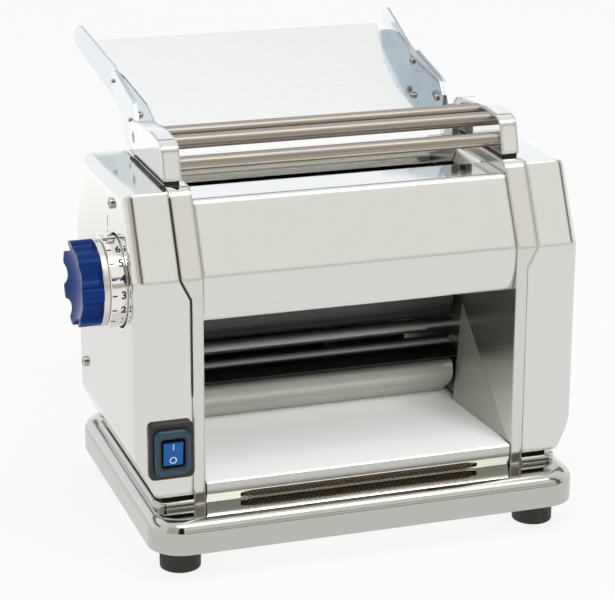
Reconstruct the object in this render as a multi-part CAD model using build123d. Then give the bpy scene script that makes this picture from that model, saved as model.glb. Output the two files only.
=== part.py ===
from build123d import *

import os
from math import atan2, cos, degrees, hypot, pi, radians, sin, sqrt

# Electric pasta maker: two smooth rollers between side frames, on a pressed base pan.
# Millimetres. +X is the right-hand side, +Y the back, +Z up.
# The origin lies on the resting plane, under the middle of the body.

# --- Clearances -----------------------------------------------------------------
seat_gap = 0.3          # between pieces of different bodies that stand close
running_gap = 0.05      # radial play of a shaft in its bore
shut_line = 0.4         # gap between neighbouring covers

# --- Body -----------------------------------------------------------------------
feed_width = 222.0      # clear width between the side frames
frame_strip = 8.0       # frame edge that shows below the knee
frame_thick = 15.0      # frame thickness above the knee
housing_width = 38.5    # side housing, from the frame strip out
body_depth = 168.6
roller_height = 162.6   # roller axes above the base; the body is built round them
knee_drop = 3.5
knee_rise = roller_height - knee_drop   # knee line, just below the roller axes
slope_run = 23.1        # the sloping face leans back by this ...
slope_rise = 46.3       # ... over this height
housing_extra = 6.0     # side housings stand above the drum covers
frame_extra = 7.5       # side frames stand above the drum covers
sheet = 2.0             # wall of housings and drum covers
thin_sheet = 1.2        # wall of the folded inner sheets
housing_corner = 8.0    # round edge of a housing's outer side
housing_lift = 8.3      # underside of the housings above the base
chamfer_height = 26.0   # sloping lower outer side of a housing
chamfer_inset = 12.0

# --- Base -----------------------------------------------------------------------
foot_height = 20.0
foot_radius = 14.0
foot_spread = 129.0     # feet left and right of the middle
foot_front = 29.7       # foot centres in from the pan's front and rear edges
base_height = 22.4
base_width = 306.0
front_ledge = 28.7      # pan in front of the body
rear_ledge = 31.5
pan_corner = 24.0
pan_edge = 9.0

# --- Chute and exit -------------------------------------------------------------
chute_rise = 15.5       # chute floor above the base
fascia_face = 7.7       # upright part of the fascia
fascia_set_back = 2.6
chute_depth = 142.0     # chute floor, front edge to back edge
vent_width = 172.0
vent_height = 2.6
vent_pitch = 3.5
vent_hole = 0.85        # radius
deflector_drop = 115.4
deflector_top = roller_height - deflector_drop  # exit deflector above the base
deflector_nose = 91.2   # exit deflector's nose, in from the front of the body
cheek_toe = 6.7         # how far a chute cheek stands in at the back

# --- Rollers --------------------------------------------------------------------
roller_radius = 30.0
roller_length = 188.0
roller_gap = 1.2        # between the rollers as stored
journal_radius = 9.0
bush_wall = 3.0
carriage_width = 41.0   # sliding bearing block of the front roller
carriage_height = 44.0
carriage_travel = 4.6   # forward, from the stored roller gap
carriage_return = 0.6   # backward
roller_gear_teeth = 26
roller_gear_width = 8.0
gear_tooth = 0.9        # tooth height outside the pitch line
gear_root = 2.0         # tooth depth inside the pitch line
drive_gear_teeth = 40
pinion_teeth = 20
gear_plane_gap = 2.5    # between gear planes

# --- Feed throat ----------------------------------------------------------------
throat = 44.0           # opening between the cover shelves
shelf_drop = 11.0       # rolled inner edge of a cover shelf
guide_inset = 14.0      # guide plates lean in by this

# --- Motor ----------------------------------------------------------------------
motor_radius = 27.0
motor_length = 214.0
motor_y = 42.0
motor_drop = 63.0
motor_rise = roller_height - motor_drop     # motor axis above the base
motor_shaft_radius = 5.0
motor_end = motor_length / 2

# --- Guard ----------------------------------------------------------------------
guard_plate = 12.4      # thickness of a guard cheek
guard_inset = 3.0       # guard cheeks outside the frames' inner faces
guard_rod_radius = 4.9
guard_height = 26.9     # guard cheek above its gasket
guard_front = -46.7     # front foot of a guard cheek
guard_pivot_y = 33.0
guard_pivot_rise = 11.9 # pivot above the gasket
gasket = 1.6
guard_pin_radius = 3.5

# --- Feed tray ------------------------------------------------------------------
tray_front_y = 58.0
tray_front_rise = 4.0   # tray's front edge above the housings
tray_back_y = 214.0
tray_back_rise = 46.5   # tray's back edge above the housings
tray_half_front = 92.0
tray_half_back = 117.0
tray_sheet_thick = 1.2
wing_height = 18.0
wing_thick = 1.5

# --- Knob and dial --------------------------------------------------------------
knob_y = -39.3
knob_drop = 14.0
knob_rise = roller_height - knob_drop       # knob axis above the base
dial_radius = 30.5
dial_gap = 1.6          # air round the dial in the housing wall
dial_out = 11.0         # dial stands out of the housing
dial_in = 6.0
collar_thick = 4.4
collar_radius = 29.4
knob_thick = 14.6
knob_tip = 29.3         # lobe radius
knob_lobes = 7
knob_dip = 6.0          # depth between lobes
knob_scoop = 10.0       # radius of the hollows between lobes
knob_dish = 6.5         # depth of the dished face
knob_floor = 9.5        # knob's rim to the end of the shaft
adjuster_radius = 5.0

# --- Switch ---------------------------------------------------------------------
switch_width = 31.0
switch_height = 39.5
switch_rise = 42.6      # switch centre above the base
bezel_thick = 4.2
boot_width = 24.6
boot_height = 31.6
boot_rise = 4.0         # soft boot in front of the bezel
rocker_width = 13.4
rocker_height = 17.6

# --- Derived places -------------------------------------------------------------
base_top = foot_height + base_height
half_depth = body_depth / 2
knee_z = base_top + knee_rise
cover_top = knee_z + slope_rise
housing_top = cover_top + housing_extra
frame_top = cover_top + frame_extra
frame_in = feed_width / 2
strip_out = frame_in + frame_strip
frame_out = frame_in + frame_thick
side_out = strip_out + housing_width
housing_bottom = base_top + housing_lift
pan_front = -half_depth - front_ledge
pan_back = half_depth + rear_ledge
chute_z = base_top + chute_rise
roller_z = base_top + roller_height
roller_y = roller_radius + roller_gap / 2
journal_out = frame_out + 0.4
motor_z = base_top + motor_rise
knob_z = base_top + knob_rise
gasket_top = frame_top + gasket
guard_in = frame_in + guard_inset
guard_out = guard_in + guard_plate
guard_pivot_z = gasket_top + guard_pivot_rise
guard_top = gasket_top + guard_height
tray_front_z = housing_top + tray_front_rise
tray_back_z = housing_top + tray_back_rise
switch_x = -(strip_out + switch_width / 2 + 0.4)
switch_z = base_top + switch_rise


# --- Small helpers --------------------------------------------------------------
def block(x0, x1, y0, y1, z0, z1):
    """Box between two corners."""
    return Pos((x0 + x1) / 2, (y0 + y1) / 2, (z0 + z1) / 2) * Box(x1 - x0, y1 - y0, z1 - z0)


def rod_x(y, z, radius, x0, x1):
    return Pos((x0 + x1) / 2, y, z) * Rot(0, 90, 0) * Cylinder(radius, x1 - x0)


def rod_y(x, z, radius, y0, y1):
    return Pos(x, (y0 + y1) / 2, z) * Rot(90, 0, 0) * Cylinder(radius, y1 - y0)


def rod_z(x, y, radius, z0, z1):
    return Pos(x, y, (z0 + z1) / 2) * Cylinder(radius, z1 - z0)


def outline(points, radii=0):
    """Closed flat outline, each corner rounded by its radius."""
    if radii == 0:
        return make_face(Polyline(*points, close=True))
    return make_face(FilletPolyline(*points, radius=radii, close=True))


def across(sketch, x0, x1):
    """Side outline (Y, Z) drawn out from x0 to x1."""
    return extrude(Plane.YZ.offset(x0) * sketch, amount=x1 - x0, dir=(1, 0, 0))


def along(sketch, y0, y1):
    """Front outline (X, Z) drawn out from y0 to y1."""
    return extrude(Plane.XZ.offset(-y0) * sketch, amount=y1 - y0, dir=(0, 1, 0))


def upward(sketch, z0, z1):
    """Plan outline (X, Y) drawn up from z0 to z1."""
    return extrude(Plane.XY.offset(z0) * sketch, amount=z1 - z0, dir=(0, 0, 1))


def folded(points, radii, thickness):
    """Cross-section of a folded sheet: an open centre line with some thickness."""
    return trace(FilletPolyline(*points, radius=radii), line_width=thickness)


def left_of(shape):
    """The mirror image on the left-hand side."""
    return mirror(shape, Plane.YZ)


def behind(shape):
    """The mirror image at the back."""
    return mirror(shape, Plane.XZ)


def solids_of(*shapes):
    """Separate solids that share one node."""
    return Compound([solid for shape in shapes for solid in shape.solids()])


def screw(point, direction, shank, length, head=1.9, height=0.62):
    """Button-head screw; the head stands on the point and the shank goes in."""
    head_radius = shank * head
    head_height = shank * 2 * height
    cap = Pos(0, 0, head_height / 2) * Cylinder(head_radius, head_height)
    cap = fillet(cap.faces().sort_by(Axis.Z)[-1].edges(), head_height * 0.45)
    socket = Pos(0, 0, head_height) * extrude(RegularPolygon(shank * 0.8, 6), amount=head_height * 0.55, both=True)
    stem = Pos(0, 0, -length / 2) * Cylinder(shank, length)
    return Plane(origin=point, z_dir=direction) * (cap - socket + stem)


def gear_wheel(teeth, pitch_radius, x0, x1, y, z, bore, turn):
    """Spur gear about a line along X; turn sets the first tooth's angle."""
    pitch_angle = 360 / teeth
    root = pitch_radius - gear_root
    tip = pitch_radius + gear_tooth
    tooth_at_root = 0.26 * pitch_angle
    tooth_at_tip = 0.13 * pitch_angle
    points = []
    for tooth in range(teeth):
        middle = tooth * pitch_angle + turn
        for radius, offset in ((root, -tooth_at_root), (tip, -tooth_at_tip), (tip, tooth_at_tip), (root, tooth_at_root)):
            angle = radians(middle + offset)
            points.append((radius * cos(angle), radius * sin(angle)))
    wheel = Pos(y, z) * outline(points) - Pos(y, z) * Circle(bore)
    return across(wheel, x0, x1)


# --- Body outlines --------------------------------------------------------------
def front_y(height):
    """Front face of the body at a height."""
    return -half_depth + max(0.0, height - knee_z) * slope_run / slope_rise


def body_side(bottom, top, radius, inset=0.0):
    """Side view of the body: upright, a knee, then a sloping face, front and back alike."""
    lean = slope_run / slope_rise
    skew = hypot(slope_run, slope_rise) / slope_rise
    side = half_depth - inset
    knee = knee_z - inset * (skew - 1) / lean
    top_y = side - (top - inset - knee) * lean
    points = [(-side, bottom), (-side, knee), (-top_y, top - inset),
              (top_y, top - inset), (side, knee), (side, bottom)]
    return outline(points, [0.0, 0.0, radius, radius, 0.0, 0.0])


def frame_front(grow, top):
    """Front view of the right frame: a narrow strip that widens above the knee."""
    step = frame_thick - frame_strip
    points = [(frame_in - grow, base_top - grow), (strip_out + grow, base_top - grow),
              (strip_out + grow, knee_z - 2 * step), (frame_out + grow, knee_z), (frame_out + grow, top + grow),
              (frame_in - grow, top + grow)]
    return outline(points)


# --- Base -----------------------------------------------------------------------
def pan_block(inset, z0, z1, edge):
    middle = (pan_front + pan_back) / 2
    plan = RectangleRounded(base_width - 2 * inset, pan_back - pan_front - 2 * inset, pan_corner - inset)
    body = upward(Pos(0, middle) * plan, z0, z1)
    if edge > 0:
        body = fillet(body.faces().sort_by(Axis.Z)[-1].edges(), edge)
    return body


frame_bolt_radius = 2.5
frame_bolt_x = frame_in + frame_strip / 2
frame_bolt_y = half_depth - 24.0


def base_pan():
    pan = pan_block(0, foot_height, base_top, pan_edge)
    pan -= pan_block(sheet, foot_height - 1, base_top - sheet, pan_edge - sheet)
    for x in (-frame_bolt_x, frame_bolt_x):
        for y in (-frame_bolt_y, frame_bolt_y):
            pan -= rod_z(x, y, frame_bolt_radius, base_top - 2 * sheet, base_top + 1)
    return pan


def foot_places():
    front = pan_front + foot_front
    back = pan_back - foot_front
    return [(x, y) for x in (-foot_spread, foot_spread) for y in (front, back)]


foot_screw_radius = 2.5
foot_counterbore = 5.5
foot_recess = 8.0
bottom_plate = 1.5
bottom_hole = 2.5       # radius of the bottom plate's air holes
bottom_pitch = 12.0


def bottom_cover():
    fit = sheet + running_gap
    plate = pan_block(fit, foot_height, foot_height + bottom_plate, 0)
    for x, y in foot_places():
        plate -= rod_z(x, y, foot_screw_radius, foot_height - 1, foot_height + bottom_plate + 1)
    columns = int((2 * foot_spread - 4 * foot_radius) / bottom_pitch)
    air = Sketch() + GridLocations(bottom_pitch, bottom_pitch, columns, 8) * Circle(bottom_hole)
    return plate - upward(air, foot_height - 1, foot_height + bottom_plate + 1)


def rubber_feet():
    feet = []
    for x, y in foot_places():
        foot = rod_z(x, y, foot_radius, 0, foot_height)
        foot = fillet(foot.faces().sort_by(Axis.Z)[0].edges(), 1.2)
        foot -= rod_z(x, y, foot_counterbore, -1, foot_recess)
        feet.append(foot - rod_z(x, y, foot_screw_radius, 0, foot_height + 1))
    return solids_of(*feet)


def foot_screws():
    length = foot_height - foot_recess + bottom_plate + 3
    return solids_of(*[screw((x, y, foot_recess), (0, 0, -1), foot_screw_radius, length) for x, y in foot_places()])


def frame_bolts():
    reach = 12.0 + sheet
    places = [(x, y) for x in (-frame_bolt_x, frame_bolt_x) for y in (-frame_bolt_y, frame_bolt_y)]
    below = base_top - sheet
    return solids_of(*[screw((x, y, below), (0, 0, -1), frame_bolt_radius, reach) for x, y in places])


# --- Side frames ----------------------------------------------------------------
bush_radius = journal_radius + running_gap + bush_wall
adjuster_clear = adjuster_radius + running_gap


def carriage_box(grow=0.0, forward=0.0, backward=0.0):
    """Space of a bearing block in a side frame, with room to move forward and back."""
    y0 = -roller_y - carriage_width * 0.62 - forward
    y1 = -roller_y + carriage_width * 0.38 + backward
    z0 = roller_z - carriage_height * 0.59
    return (y0 - grow, y1 + grow, z0 - grow, z0 + carriage_height + grow)


tie_rod_radius = 5.0
tie_rod_neck = 3.5
tie_rod_y = 30.0
tie_rod_rise = motor_rise - 30.5
tie_bar_radius = 4.0
tie_bar_y = 31.0
tie_bar_rise = deflector_top + 8.2


def side_frame():
    """Right side frame, with its bearing bore, carriage window and rod holes."""
    plate = across(body_side(base_top, frame_top, 9.0), frame_in, frame_out)
    plate &= along(frame_front(0, frame_top), -half_depth, half_depth)
    reach = (frame_in - 1, frame_out + 1)
    plate -= rod_x(roller_y, roller_z, bush_radius, *reach)
    plate -= block(*reach, *carriage_box(seat_gap, carriage_travel, carriage_return))
    plate -= rod_x(tie_rod_y, base_top + tie_rod_rise, tie_rod_neck, *reach)
    plate -= rod_x(tie_bar_y, base_top + tie_bar_rise, tie_bar_radius, *reach)
    for y in (-frame_bolt_y, frame_bolt_y):
        plate -= rod_z(frame_bolt_x, y, frame_bolt_radius, base_top - 1, base_top + 12)
    return plate


def right_frame():
    shaft_room = motor_shaft_radius + 2.0
    return side_frame() - rod_x(motor_y, motor_z, shaft_room, frame_in - 1, frame_out + 1)


def left_frame():
    return left_of(side_frame()) - guard_switch_box(0)


# --- Side housings --------------------------------------------------------------
def housing_front(inset):
    """Front view of the right housing's outer side, chamfered at the bottom."""
    out = side_out - inset
    bottom = housing_bottom + inset
    points = [(0, bottom), (out - chamfer_inset, bottom), (out, housing_bottom + chamfer_height),
              (out, housing_top + 40), (0, housing_top + 40)]
    return outline(points, [0.0, 5.0 - inset, 22.0 - inset, 0.0, 0.0])


def housing_block(inset):
    """Solid body of the right housing, smaller all round by the inset."""
    side = body_side(housing_bottom - 20, housing_top, 0.0, inset)
    body = across(side, strip_out - 10, side_out - inset)
    rim = body.faces().sort_by(Axis.X)[-1].edges().sort_by(Axis.Z)[1:]
    body = fillet(rim, housing_corner - inset)
    return body & along(housing_front(inset), -half_depth - 1, half_depth + 1)


def side_housing():
    shell = housing_block(0) - housing_block(sheet)
    shell -= along(frame_front(shut_line, housing_top + 40), -half_depth - 1, half_depth + 1)
    return shell - block(0, strip_out + shut_line, -half_depth - 1, half_depth + 1, 0, housing_top + 1)


housing_screw_radius = 2.0
housing_screw_places = [(-30.6, roller_height + 36.9), (62.8, 57.1)]   # y, and height above the base
housing_screw_length = 9.0
housing_post_radius = 3.8


def housing_holes(housing):
    for y, rise in housing_screw_places:
        housing -= rod_x(y, base_top + rise, housing_screw_radius, side_out - 2 * sheet, side_out + 1)
    return housing


def left_housing():
    shell = left_of(housing_holes(side_housing()))
    shell -= rod_x(knob_y, knob_z, dial_radius + dial_gap, -side_out - 1, -side_out + 2 * sheet)
    opening = (switch_width - 5, switch_height - 7)
    shell -= block(switch_x - opening[0] / 2, switch_x + opening[0] / 2, -half_depth - 1, -half_depth + sheet + 1,
                   switch_z - opening[1] / 2, switch_z + opening[1] / 2)
    return shell


def right_housing():
    return housing_holes(side_housing())


def housing_screws():
    right = [screw((side_out, y, base_top + rise), (1, 0, 0), housing_screw_radius, housing_screw_length)
             for y, rise in housing_screw_places]
    return solids_of(*right, *[left_of(one) for one in right])


def housing_posts():
    """Posts that carry the housing screws, from the frames out."""
    posts = []
    for y, rise in housing_screw_places:
        z = base_top + rise
        inner = frame_out if z > knee_z else strip_out
        post = rod_x(y, z, housing_post_radius, inner, side_out - sheet)
        posts.append(post - rod_x(y, z, housing_screw_radius, side_out - housing_screw_length, side_out))
    return solids_of(*posts, *[left_of(one) for one in posts])


foot_plate_thick = 5.0
foot_plate_edge = 2.0
foot_plate_inset = 11.0     # in from the housing's side


def foot_plates():
    """Thin bright plate between each housing and the base."""
    width = side_out - foot_plate_inset - strip_out
    plan = Pos(strip_out + width / 2, 0) * Rectangle(width, body_depth + 3)
    plate = upward(plan, base_top, base_top + foot_plate_thick)
    corners = plate.edges().filter_by(Axis.Z).sort_by(Axis.X)[-2:]
    plate = fillet(corners, 10.0)
    plate = fillet(plate.faces().sort_by(Axis.Z)[-1].edges().sort_by(Axis.X)[1:], foot_plate_edge)
    return solids_of(plate, left_of(plate))


def plinths():
    """Dark set-back blocks that carry the housings on their foot plates."""
    plinth = block(strip_out, side_out - foot_plate_inset - 7, -half_depth + 6, half_depth - 6,
                   base_top + foot_plate_thick, housing_bottom)
    hollow = block(strip_out + 6, side_out - foot_plate_inset - 13, -half_depth + 12, half_depth - 12,
                   base_top, housing_bottom + 1)
    ring = plinth - hollow
    return solids_of(ring, left_of(ring))


# --- Drum covers ----------------------------------------------------------------
lip_drop = 31.7         # cover's lip below the knee
lip_tuck = 5.1          # lip set back from the front
lip_flange = 11.0
cover_end_gap = seat_gap


def front_cover():
    """Drum cover: shelf with a rolled edge, sloping face, knee, curved apron and lip."""
    half = sheet / 2
    lip_z = knee_z - lip_drop + half
    shelf_z = cover_top - half
    front = -half_depth + half + 0.4
    points = [(front + lip_tuck + lip_flange, lip_z), (front + lip_tuck, lip_z),
              (front + 0.6, knee_z - 0.52 * lip_drop), (front, knee_z),
              (front_y(cover_top) + half, shelf_z), (-throat / 2 - half, shelf_z),
              (-throat / 2 - half, cover_top - shelf_drop)]
    section = folded(points, [2.5, 60.0, 1.2, 4.0, 5.0], sheet)
    return across(section, -frame_in + cover_end_gap, frame_in - cover_end_gap)


def rear_cover():
    return behind(front_cover())


cover_rib_x = frame_in - 6.0


def cover_brackets():
    """Angle brackets that hold both covers to the frames."""
    height = 12.0
    reach = 8.0
    lug = block(frame_in - reach, frame_in, front_y(cover_top) + 12, front_y(cover_top) + 24,
                cover_top - sheet - height, cover_top - sheet)
    return solids_of(lug, left_of(lug), behind(lug), behind(left_of(lug)))


# --- Rear panel and power inlet -------------------------------------------------
rear_panel_top = knee_rise - lip_drop - shut_line   # above the base
rear_panel_set_in = 2.0
inlet_x = 72.0
inlet_rise = 44.0
inlet_width = 27.0
inlet_height = 20.0


def inlet_core(grow):
    z = base_top + inlet_rise
    sketch = Pos(inlet_x, z) * RectangleRounded(inlet_width + 2 * grow, inlet_height + 2 * grow, 3.0)
    return sketch


def rear_panel():
    y1 = half_depth - rear_panel_set_in
    y0 = y1 - thin_sheet
    z0 = base_top
    z1 = base_top + rear_panel_top
    panel = block(-frame_in, frame_in, y0, y1, z0, z1)
    slot = SlotOverall(46.0, 4.0)
    for column in (-55.0, 0.0):
        for row in range(5):
            panel -= along(Pos(column, z0 + 16 + 9 * row) * slot, y0 - 1, y1 + 1)
    return panel - along(inlet_core(0), y0 - 1, y1 + 1)


def power_inlet():
    """Appliance inlet: flange, shroud and cavity; open to the back."""
    y1 = half_depth - rear_panel_set_in
    z = base_top + inlet_rise
    flange = along(Pos(inlet_x, z) * RectangleRounded(48.0, 28.0, 6.0), y1, y1 + 2.4)
    body = along(inlet_core(0), y1 - 22, y1)
    cavity = along(inlet_core(-2.0), y1 - 17, y1 + 3)
    return flange + body - cavity


# --- Chute ----------------------------------------------------------------------
chute_half = frame_in - 1.0
shelf_back = half_depth - 26.0
nose_y = -half_depth + deflector_nose
deflector_rise = deflector_top - chute_rise
deflector_base_y = nose_y + 0.8233 * deflector_rise


def chute_floor():
    """Folded sheet: level floor, upright fascia and a tucked-in lower edge."""
    half = thin_sheet / 2
    floor = chute_z - half
    front = -half_depth + half
    points = [(-half_depth + chute_depth, floor), (front, floor), (front, floor - fascia_face),
              (front + fascia_set_back, base_top + 0.35 * half)]
    section = folded(points, [1.0, 1.0], thin_sheet)
    tray = across(section, -chute_half, chute_half)
    slot_z = base_top + thin_sheet + vent_height / 2
    slot = Pos(0, slot_z) * SlotOverall(vent_width, vent_height)
    return tray - along(slot, -half_depth - 1, -half_depth + fascia_set_back + 4)


def vent_grille():
    """Perforated strip behind the slot in the fascia."""
    z = base_top + thin_sheet + vent_height / 2
    y0 = -half_depth + fascia_set_back + thin_sheet + 0.6
    strip = along(Pos(0, z + 1.0) * Rectangle(vent_width + 8, vent_height + 4), y0, y0 + 0.8)
    count = int(vent_width / vent_pitch) - 1
    row = Sketch() + GridLocations(vent_pitch, 1, count, 1) * Circle(vent_hole)
    for step in (-1, 1):
        holes = Pos(step * vent_pitch / 4, z + step * 0.8 * vent_hole) * row
        strip -= along(holes, y0 - 1, y0 + 2)
    return strip


def chute_cheeks():
    """Wedge-shaped side plates; each leans in towards the back and the floor."""
    front = -half_depth + 5.5
    back = deflector_base_y
    seam_rise = 62.1
    seam_run = 74.0
    corner = Vector(frame_in, front, chute_z)
    floor_back = Vector(frame_in - cheek_toe, back, chute_z)
    on_seam = Vector(frame_in, front + seam_run, chute_z + seam_rise)
    normal = (floor_back - corner).cross(on_seam - corner)
    if normal.X > 0:
        normal = normal * -1
    slab = block(frame_in - 2 * cheek_toe, frame_in, front, nose_y + 4.0, chute_z, chute_z + 2 * seam_rise)
    cut = split(slab, bisect_by=Plane(origin=corner, z_dir=normal), keep=Keep.BOTTOM)
    return solids_of(cut, left_of(cut))


def exit_deflector():
    """Bent sheet behind the chute: a rounded nose under a level shelf."""
    half = thin_sheet / 2
    top = base_top + deflector_top
    points = [(shelf_back, top), (nose_y + 0.11 * deflector_rise, top), (nose_y, top - 0.426 * deflector_rise),
              (deflector_base_y, chute_z + half)]
    section = folded(points, [0.19 * deflector_rise, 0.347 * deflector_rise], thin_sheet)
    half_width = frame_in - cheek_toe - 0.4
    return across(section, -half_width, half_width)


def exit_shelf():
    """Dark shelf a hair above the deflector."""
    z = base_top + deflector_top + thin_sheet / 2 + 1.0
    return block(-frame_in, frame_in, nose_y + 4.5, shelf_back, z, z + thin_sheet)


# --- Rods between the frames ----------------------------------------------------
def tie_rods():
    """Spacer rod with turned-down ends, and a thinner tie bar with hexagonal collars."""
    z = base_top + tie_rod_rise
    body = rod_x(tie_rod_y, z, tie_rod_radius, -frame_in + 21, frame_in - 21)
    body += rod_x(tie_rod_y, z, tie_rod_neck, -frame_in - frame_strip, frame_in + frame_strip)
    bar = rod_x(tie_bar_y, base_top + tie_bar_rise, tie_bar_radius, -strip_out, strip_out)
    collar = across(Pos(tie_bar_y, base_top + tie_bar_rise) * RegularPolygon(tie_bar_radius * 1.3, 6),
                    frame_in - 3.0, frame_in)
    return solids_of(body, bar + collar + left_of(collar))


# --- Rollers --------------------------------------------------------------------
gear_x0 = frame_out + gear_plane_gap
gear_x1 = gear_x0 + roller_gear_width
drive_x0 = gear_x1 + gear_plane_gap
drive_x1 = drive_x0 + roller_gear_width
gear_bore = journal_radius - 1.0
rear_shaft_end = drive_x1 + 1.0
front_shaft_end = gear_x1 + 1.0
pitch_roller = roller_y
shaft_distance = hypot(motor_y - roller_y, roller_z - motor_z)
pitch_drive = shaft_distance * drive_gear_teeth / (drive_gear_teeth + pinion_teeth)
pitch_pinion = shaft_distance - pitch_drive


def roller(y, right_end):
    """Polished roller with a journal at each end, stepped down for its gears."""
    barrel = rod_x(y, roller_z, roller_radius, -roller_length / 2, roller_length / 2)
    barrel = chamfer(barrel.edges().filter_by(GeomType.CIRCLE), 1.0)
    shaft = rod_x(y, roller_z, journal_radius, -journal_out, gear_x0)
    shaft += rod_x(y, roller_z, gear_bore, gear_x0, right_end)
    return barrel + shaft


def rear_roller():
    return roller(roller_y, rear_shaft_end)


def front_roller():
    return roller(-roller_y, front_shaft_end)


def rear_roller_gear():
    return gear_wheel(roller_gear_teeth, pitch_roller, gear_x0, gear_x1, roller_y, roller_z, gear_bore, 180.0)


def front_roller_gear():
    half_pitch = 180 / roller_gear_teeth
    return gear_wheel(roller_gear_teeth, pitch_roller, gear_x0, gear_x1, -roller_y, roller_z, gear_bore, half_pitch)


def mesh_angle():
    """Direction from the roller shaft to the motor shaft, in the Y-Z plane."""
    return degrees(atan2(motor_z - roller_z, motor_y - roller_y))


def drive_gear():
    return gear_wheel(drive_gear_teeth, pitch_drive, drive_x0, drive_x1, roller_y, roller_z, gear_bore, mesh_angle())


def pinion_shaft():
    """Gear motor's output shaft with its pinion cut in one piece."""
    turn = mesh_angle() + 180 + 180 / pinion_teeth
    bore = motor_shaft_radius - 1.0
    pinion = gear_wheel(pinion_teeth, pitch_pinion, drive_x0, drive_x1, motor_y, motor_z, bore, turn)
    return pinion + rod_x(motor_y, motor_z, motor_shaft_radius, motor_end - 28, drive_x1 + 1)


def bush(y, x0, x1):
    ring = rod_x(y, roller_z, bush_radius, x0, x1)
    return ring - rod_x(y, roller_z, journal_radius + running_gap, x0 - 1, x1 + 1)


def rear_bushes():
    right = bush(roller_y, frame_in, frame_out)
    return solids_of(right, left_of(right))


def front_bushes():
    right = bush(-roller_y, frame_in, frame_out)
    return solids_of(right, left_of(right))


def carriage_blocks():
    """Sliding bearing blocks that carry the front roller in the frames."""
    box = block(frame_in, frame_out, *carriage_box())
    right = box - rod_x(-roller_y, roller_z, bush_radius, frame_in - 1, frame_out + 1)
    return solids_of(right, left_of(right))


scraper_bar = 4.0


def scraper_outline(y_sign):
    """Square bar whose corner stands a hair off the roller's lower outer side."""
    z0 = carriage_box()[2]
    reach = roller_z - z0 - scraper_bar
    clear = sqrt((roller_radius + seat_gap) ** 2 - reach ** 2)
    y = roller_y + clear
    return (y_sign * y, y_sign * (y + scraper_bar), z0, z0 + scraper_bar)


def front_scraper():
    y0, y1, z0, z1 = scraper_outline(-1)
    return block(-frame_in, frame_in, y1, y0, z0, z1)


def rear_scraper():
    y0, y1, z0, z1 = scraper_outline(1)
    return block(-frame_in, frame_in, y0, y1, z0, z1)


# --- Feed guides ----------------------------------------------------------------
def feed_guides():
    """V-shaped end plates of the throat; each leans in over the roller ends."""
    top = cover_top - 1.0
    bottom = roller_z + 9.0
    wide = throat / 2 - 1.0
    side = outline([(-wide, top), (-wide, top - 9), (-2.5, bottom), (2.5, bottom), (wide, top - 9), (wide, top)])
    lean = outline([(frame_in, top), (frame_in - 2.0, top), (frame_in - guide_inset, bottom),
                    (frame_in - guide_inset + 2.0, bottom - 0.1), (frame_in, bottom + 8)])
    plate = across(side, frame_in - 3 * guide_inset, frame_in) & along(lean, -throat, throat)
    return solids_of(plate, left_of(plate))


# --- Adjuster: knob, dial and cams ----------------------------------------------
def dial_drum():
    x0 = -side_out - dial_out
    drum = rod_x(knob_y, knob_z, dial_radius, x0, -side_out + dial_in)
    drum = chamfer(drum.faces().sort_by(Axis.X)[0].edges(), 0.6)
    return drum - rod_x(knob_y, knob_z, adjuster_radius, x0 - 1, -side_out + dial_in + 1)


def knob_collar():
    x1 = -side_out - dial_out
    ring = rod_x(knob_y, knob_z, collar_radius, x1 - collar_thick, x1)
    ring = fillet(ring.edges().filter_by(GeomType.CIRCLE), 0.8)
    return ring - rod_x(knob_y, knob_z, adjuster_radius, x1 - collar_thick - 1, x1 + 1)


def knob():
    """Lobed hand knob with a dished face."""
    x1 = -side_out - dial_out - collar_thick
    x0 = x1 - knob_thick
    scoop_centre = knob_tip - knob_dip + knob_scoop
    plan = Sketch() + Circle(knob_tip) - [loc * Circle(knob_scoop) for loc in lobe_places(scoop_centre)]
    plan = fillet(plan.vertices(), 2.2)
    body = across(Pos(knob_y, knob_z) * plan, x0, x1)
    dish_rim = knob_tip - 2.0
    dish_radius = (dish_rim ** 2 + knob_dish ** 2) / (2 * knob_dish)
    body -= Pos(x0 - dish_radius + knob_dish, knob_y, knob_z) * Sphere(dish_radius)
    return body - rod_x(knob_y, knob_z, adjuster_radius, x0 + knob_floor, x1 + 1)


def lobe_places(distance):
    return PolarLocations(distance, knob_lobes)


cam_radius = 9.0
cam_throw = 1.5
cam_width = 8.0


def adjuster_shaft():
    """Shaft from the knob inward, with an eccentric cam just outside the left frame."""
    x_knob = -side_out - dial_out - collar_thick - knob_thick + knob_floor
    x_cam = -frame_out - 1.0
    cam = rod_x(knob_y, knob_z + cam_throw, cam_radius, x_cam - cam_width, x_cam)
    return rod_x(knob_y, knob_z, adjuster_radius, x_knob, x_cam) + cam


bearing_half = 20.0


def adjuster_bearing():
    """Flanged bearing that carries the adjuster shaft inside the left housing."""
    x0 = -side_out + sheet + dial_in + 2.0
    plate = block(x0, x0 + 4, knob_y - bearing_half, knob_y + bearing_half, knob_z - bearing_half, knob_z + 14)
    legs = []
    for y in (knob_y - 17, knob_y + 17):
        legs.append(block(x0 + 4, -strip_out, y - 3, y + 3, knob_z - bearing_half, knob_z - bearing_half + 6))
    whole = plate + legs[0] + legs[1]
    return whole - rod_x(knob_y, knob_z, adjuster_clear, x0 - 1, x0 + 5)


# --- Motor ----------------------------------------------------------------------

def motor_body():
    """Gear motor: a long can with a boss that seats in each side frame."""
    can = rod_x(motor_y, motor_z, motor_radius, -motor_end, motor_end)
    can = fillet(can.edges().filter_by(GeomType.CIRCLE), 2.0)
    can += rod_x(motor_y, motor_z, motor_radius * 0.6, motor_end, frame_in)
    can += rod_x(motor_y, motor_z, motor_radius * 0.6, -frame_in, -motor_end)
    return can - rod_x(motor_y, motor_z, motor_shaft_radius + running_gap, motor_end - 30, frame_in + 1)


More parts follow.
